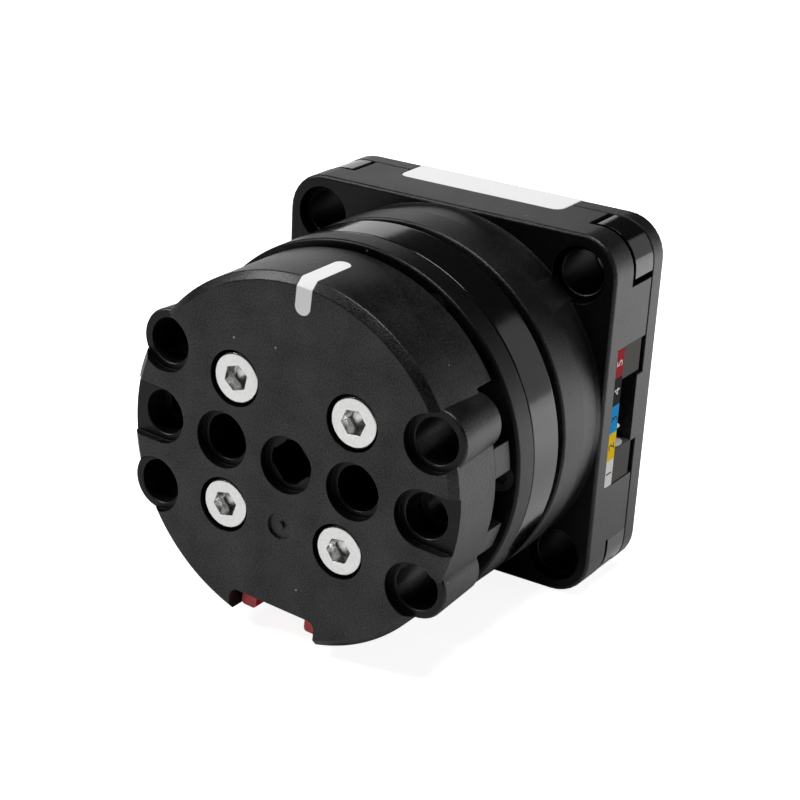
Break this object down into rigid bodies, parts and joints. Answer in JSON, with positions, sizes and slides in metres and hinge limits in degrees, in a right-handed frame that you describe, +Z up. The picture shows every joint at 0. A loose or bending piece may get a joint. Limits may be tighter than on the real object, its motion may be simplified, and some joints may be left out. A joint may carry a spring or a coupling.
{
  "type": "robot joint actuator",
  "caption": "Compact robot joint actuator: a square flanged housing with a brushless motor and planetary gearbox that turns a round output disc of pin holes",
  "frame": {"origin": "on the output axis, in the plane of the rear face", "axes": "+Z up, the output disc faces -Y, +X to the right seen from the disc"},
  "size_m": [0.0406, 0.04, 0.0406],
  "materials": {
    "black_grained": "fine grained matte black moulding",
    "black_gloss": "polished black moulding",
    "red_latch": "satin red moulding",
    "screw_steel": "zinc plated steel",
    "shaft_steel": "ground steel",
    "ball_steel": "polished steel",
    "spring_steel": "drawn spring wire",
    "hub_alloy": "black anodised alloy",
    "carrier_alloy": "machined alloy",
    "gear_steel": "hardened and ground teeth",
    "bush_bronze": "sintered bronze",
    "cage_polymer": "natural polyamide",
    "bell_steel": "black phosphated steel",
    "magnet_nickel": "nickel plated magnet",
    "core_laminate": "coated laminations",
    "coil_copper": "enamelled copper wire",
    "board_green": "solder mask",
    "chip_black": "moulded package",
    "light_white": "light emitter",
    "diffuser_white": "satin translucent white",
    "surround_grey": "satin grey moulding",
    "header_black": "moulded connector",
    "contact_gold": "gold plated contact",
    "label_film": "printed film with five colour bands"
  },
  "bodies": {
    "housing": {"base_housing": "black_grained", "gear_housing": "black_gloss", "gearbox_cover": "black_grained", "housing_screws": "screw_steel", "ring_gear": "gear_steel", "output_bearing_outer_race": "ball_steel", "rotor_bearing_outer_races": "ball_steel", "motor_bracket": "black_gloss", "bracket_screws": "screw_steel", "stator_core": "core_laminate", "stator_windings": "coil_copper", "control_board": "board_green", "encoder_chip": "chip_black", "status_lights": "light_white", "connector_header": "header_black", "connector_contacts": "contact_gold", "connector_surround": "surround_grey", "wiring_label": "label_film", "light_strip": "diffuser_white", "rear_cover": "black_grained", "cover_screws": "screw_steel"},
    "output": {"output_disc": "black_grained", "disc_screws": "screw_steel", "latch_spring": "spring_steel", "output_hub": "hub_alloy", "carrier_plate": "carrier_alloy", "carrier_screws": "screw_steel", "planet_pins": "shaft_steel", "output_bearing_inner_race": "ball_steel"},
    "latch": {"release_latch": "red_latch"},
    "planet_1": {"planet_gear_1": "gear_steel", "planet_bush_1": "bush_bronze"},
    "planet_2": {"planet_gear_2": "gear_steel", "planet_bush_2": "bush_bronze"},
    "planet_3": {"planet_gear_3": "gear_steel", "planet_bush_3": "bush_bronze"},
    "output_balls": {"output_bearing_balls": "ball_steel", "output_bearing_cage": "cage_polymer"},
    "rotor": {"rotor_shaft": "shaft_steel", "sun_gear": "gear_steel", "rotor_bell": "bell_steel", "rotor_magnets": "magnet_nickel", "encoder_magnet": "magnet_nickel", "rotor_bearing_inner_races": "ball_steel"},
    "rotor_balls": {"rotor_bearing_balls": "ball_steel", "rotor_bearing_cages": "cage_polymer"}
  },
  "joints": [
    {"name": "output_turn", "type": "hinge", "parent": "housing", "child": "output", "pos_m": [0, 0, 0], "axis": [0, 1, 0], "continuous": true},
    {"name": "rotor_turn", "type": "hinge", "parent": "housing", "child": "rotor", "pos_m": [0, 0, 0], "axis": [0, 1, 0], "continuous": true},
    {"name": "output_balls_roll", "type": "hinge", "parent": "housing", "child": "output_balls", "pos_m": [0, 0, 0], "axis": [0, 1, 0], "continuous": true},
    {"name": "rotor_balls_roll", "type": "hinge", "parent": "housing", "child": "rotor_balls", "pos_m": [0, 0, 0], "axis": [0, 1, 0], "continuous": true},
    {"name": "planet_1_turn", "type": "hinge", "parent": "output", "child": "planet_1", "pos_m": [-0.00748, -0.0221, 0.00059], "axis": [0, 1, 0], "continuous": true},
    {"name": "planet_2_turn", "type": "hinge", "parent": "output", "child": "planet_2", "pos_m": [0.00323, -0.0221, -0.00677], "axis": [0, 1, 0], "continuous": true},
    {"name": "planet_3_turn", "type": "hinge", "parent": "output", "child": "planet_3", "pos_m": [0.00425, -0.0221, 0.00618], "axis": [0, 1, 0], "continuous": true},
    {"name": "latch_press", "type": "slide", "parent": "output", "child": "latch", "axis": [0.0785, 0, 0.9969], "range_m": [0, 0.0012], "stiffness_N_per_m": 60, "springref_m": -0.002, "deforming": ["latch_spring"]}
  ],
  "couplings": [
    {"joint": "rotor_turn", "follows": "output_turn", "ratio": 5},
    {"joint": "output_balls_roll", "follows": "output_turn", "ratio": 0.457},
    {"joint": "rotor_balls_roll", "follows": "output_turn", "ratio": 2},
    {"joint": "planet_1_turn", "follows": "output_turn", "ratio": -2.6667},
    {"joint": "planet_2_turn", "follows": "output_turn", "ratio": -2.6667},
    {"joint": "planet_3_turn", "follows": "output_turn", "ratio": -2.6667}
  ]
}
